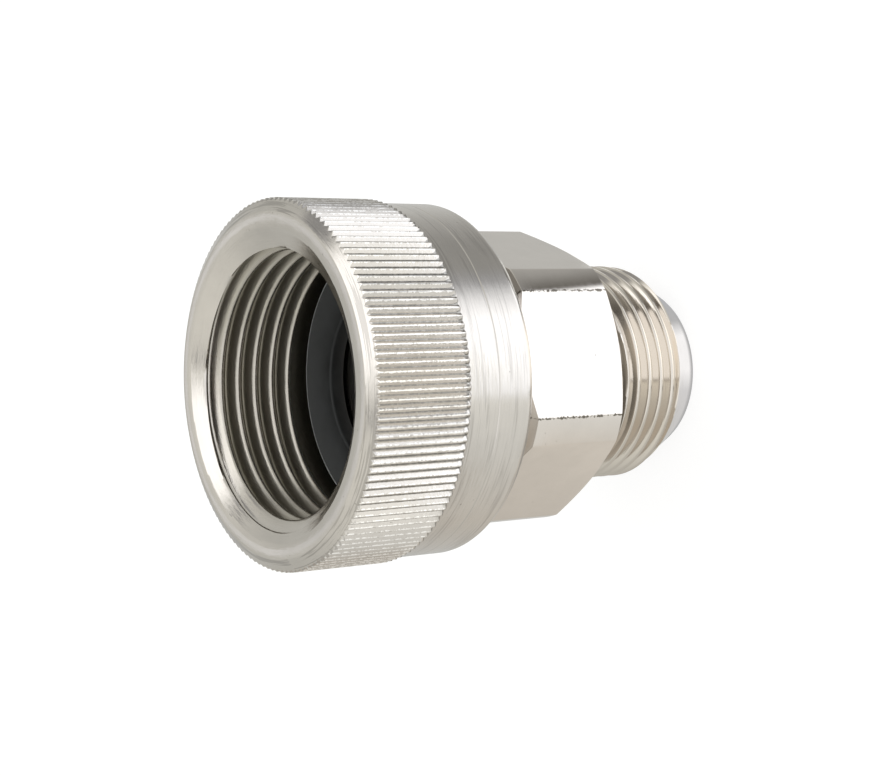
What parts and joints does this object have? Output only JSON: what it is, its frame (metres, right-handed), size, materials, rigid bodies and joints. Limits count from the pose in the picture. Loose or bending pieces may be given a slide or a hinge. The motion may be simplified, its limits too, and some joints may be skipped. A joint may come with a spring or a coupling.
{
  "type": "swivel coupling",
  "caption": "Straight nickel-plated swivel coupling: a knurled nut with inside pipe thread turns freely on a hexagon tail piece with outside pipe thread and a coned nose.",
  "frame": {"origin": "centre of the lower end of the outside thread, on the common axis", "axes": "+Z along the common axis from the outside thread to the mouth of the nut; -Y is square to one flat of the hexagon"},
  "size_m": [0.042, 0.042, 0.0552],
  "materials": {
    "nickel_nut": "nickel plated, turned and knurled, bright",
    "nickel_tail": "nickel plated, turned, bright",
    "spring_wire": "drawn spring wire",
    "black_rubber": "smooth black rubber, satin"
  },
  "bodies": {
    "tail": {"tail_piece": "nickel_tail", "retaining_ring": "spring_wire", "sealing_washer": "black_rubber"},
    "nut": {"swivel_nut": "nickel_nut"}
  },
  "joints": [
    {"name": "nut_swivel", "type": "hinge", "parent": "tail", "child": "nut", "pos_m": [0, 0, 0.044], "axis": [0, 0, 1], "continuous": true}
  ]
}
